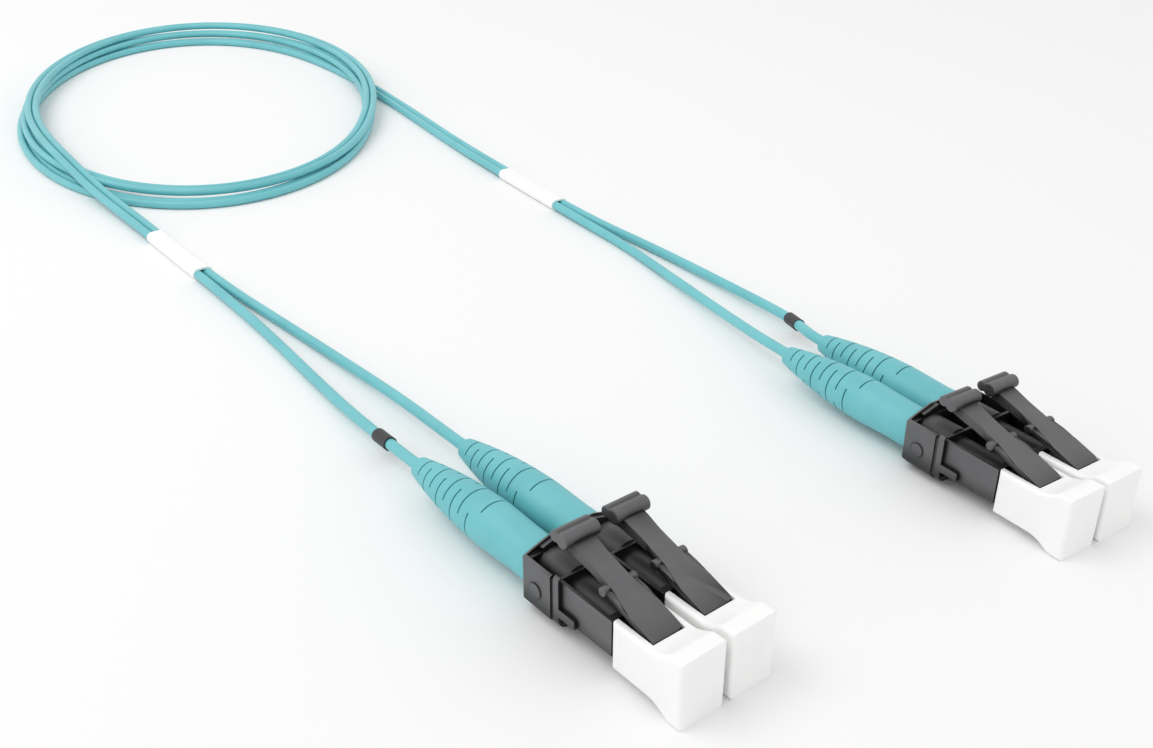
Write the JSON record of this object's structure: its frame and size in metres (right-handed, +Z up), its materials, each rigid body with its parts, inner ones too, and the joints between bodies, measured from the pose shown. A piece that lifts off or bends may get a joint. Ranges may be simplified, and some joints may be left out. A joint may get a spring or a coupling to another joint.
{
  "type": "lc duplex fibre patch cord",
  "caption": "Short flat twin optical-fibre cord, loosely coiled, with a clipped pair of small square latching plugs, slotted boots and flared dust caps on each end.",
  "frame": {"origin": "on the floor, midway between the two duplex plugs (centre of their joint box, cord left out)", "axes": "+X the way the near plug's ferrules point, +Y to the left of that towards the far plug, +Z up"},
  "size_m": [0.2726, 0.0905, 0.0111],
  "materials": {
    "clip_plastic": "moulded",
    "zirconia": "ground ceramic",
    "nickel_metal": "nickel plated",
    "spring_steel": "drawn wire",
    "boot_rubber": "moulded",
    "cap_plastic": "moulded",
    "cord_jacket": "extruded",
    "sleeve_plastic": "satin",
    "band_black": "matt"
  },
  "bodies": {
    "cord_and_plugs": {"cord_coil": "cord_jacket", "far_duplex_clip": "clip_plastic", "far_left_boot": "boot_rubber", "far_left_crimp_ring": "nickel_metal", "far_left_ferrule_spring": "spring_steel", "far_left_plug_housing": "clip_plastic", "far_left_rear_body": "nickel_metal", "far_marked_strand": "cord_jacket", "far_marker_band": "band_black", "far_plain_strand": "cord_jacket", "far_right_boot": "boot_rubber", "far_right_crimp_ring": "nickel_metal", "far_right_ferrule_spring": "spring_steel", "far_right_plug_housing": "clip_plastic", "far_right_rear_body": "nickel_metal", "far_split_sleeve": "sleeve_plastic", "near_duplex_clip": "clip_plastic", "near_left_boot": "boot_rubber", "near_left_crimp_ring": "nickel_metal", "near_left_ferrule_spring": "spring_steel", "near_left_plug_housing": "clip_plastic", "near_left_rear_body": "nickel_metal", "near_marked_strand": "cord_jacket", "near_marker_band": "band_black", "near_plain_strand": "cord_jacket", "near_right_boot": "boot_rubber", "near_right_crimp_ring": "nickel_metal", "near_right_ferrule_spring": "spring_steel", "near_right_plug_housing": "clip_plastic", "near_right_rear_body": "nickel_metal", "near_split_sleeve": "sleeve_plastic"},
    "near_left_latch": {"near_left_latch_lever": "clip_plastic"},
    "near_left_cap": {"near_left_dust_cap": "cap_plastic"},
    "near_left_ferrule_unit": {"near_left_ferrule": "zirconia", "near_left_ferrule_flange": "nickel_metal"},
    "near_right_latch": {"near_right_latch_lever": "clip_plastic"},
    "near_right_cap": {"near_right_dust_cap": "cap_plastic"},
    "near_right_ferrule_unit": {"near_right_ferrule": "zirconia", "near_right_ferrule_flange": "nickel_metal"},
    "far_left_latch": {"far_left_latch_lever": "clip_plastic"},
    "far_left_cap": {"far_left_dust_cap": "cap_plastic"},
    "far_left_ferrule_unit": {"far_left_ferrule": "zirconia", "far_left_ferrule_flange": "nickel_metal"},
    "far_right_latch": {"far_right_latch_lever": "clip_plastic"},
    "far_right_cap": {"far_right_dust_cap": "cap_plastic"},
    "far_right_ferrule_unit": {"far_right_ferrule": "zirconia", "far_right_ferrule_flange": "nickel_metal"}
  },
  "joints": [
    {"name": "near_left_latch_press", "type": "hinge", "parent": "cord_and_plugs", "child": "near_left_latch", "pos_m": [0.01355, -0.02197, 0.006], "axis": [0, -1, 0], "range_deg": [0, 6.5], "stiffness_Nm_per_rad": 0.3},
    {"name": "near_left_cap_pull", "type": "slide", "parent": "cord_and_plugs", "child": "near_left_cap", "axis": [1, 0, 0], "range_m": [0, 0.012]},
    {"name": "near_left_ferrule_push", "type": "slide", "parent": "cord_and_plugs", "child": "near_left_ferrule_unit", "axis": [-1, 0, 0], "range_m": [0, 0.0008], "stiffness_N_per_m": 1500, "deforming": ["near_left_ferrule_spring"]},
    {"name": "near_right_latch_press", "type": "hinge", "parent": "cord_and_plugs", "child": "near_right_latch", "pos_m": [0.01355, -0.02822, 0.006], "axis": [0, -1, 0], "range_deg": [0, 6.5], "stiffness_Nm_per_rad": 0.3},
    {"name": "near_right_cap_pull", "type": "slide", "parent": "cord_and_plugs", "child": "near_right_cap", "axis": [1, 0, 0], "range_m": [0, 0.012]},
    {"name": "near_right_ferrule_push", "type": "slide", "parent": "cord_and_plugs", "child": "near_right_ferrule_unit", "axis": [-1, 0, 0], "range_m": [0, 0.0008], "stiffness_N_per_m": 1500, "deforming": ["near_right_ferrule_spring"]},
    {"name": "far_left_latch_press", "type": "hinge", "parent": "cord_and_plugs", "child": "far_left_latch", "pos_m": [0.0217, 0.02576, 0.006], "axis": [-0.0972, -0.9953, 0], "range_deg": [0, 6.5], "stiffness_Nm_per_rad": 0.3},
    {"name": "far_left_cap_pull", "type": "slide", "parent": "cord_and_plugs", "child": "far_left_cap", "axis": [0.9953, -0.0972, 0], "range_m": [0, 0.012]},
    {"name": "far_left_ferrule_push", "type": "slide", "parent": "cord_and_plugs", "child": "far_left_ferrule_unit", "axis": [-0.9953, 0.0972, 0], "range_m": [0, 0.0008], "stiffness_N_per_m": 1500, "deforming": ["far_left_ferrule_spring"]},
    {"name": "far_right_latch_press", "type": "hinge", "parent": "cord_and_plugs", "child": "far_right_latch", "pos_m": [0.02109, 0.01954, 0.006], "axis": [-0.0972, -0.9953, 0], "range_deg": [0, 6.5], "stiffness_Nm_per_rad": 0.3},
    {"name": "far_right_cap_pull", "type": "slide", "parent": "cord_and_plugs", "child": "far_right_cap", "axis": [0.9953, -0.0972, 0], "range_m": [0, 0.012]},
    {"name": "far_right_ferrule_push", "type": "slide", "parent": "cord_and_plugs", "child": "far_right_ferrule_unit", "axis": [-0.9953, 0.0972, 0], "range_m": [0, 0.0008], "stiffness_N_per_m": 1500, "deforming": ["far_right_ferrule_spring"]}
  ]
}
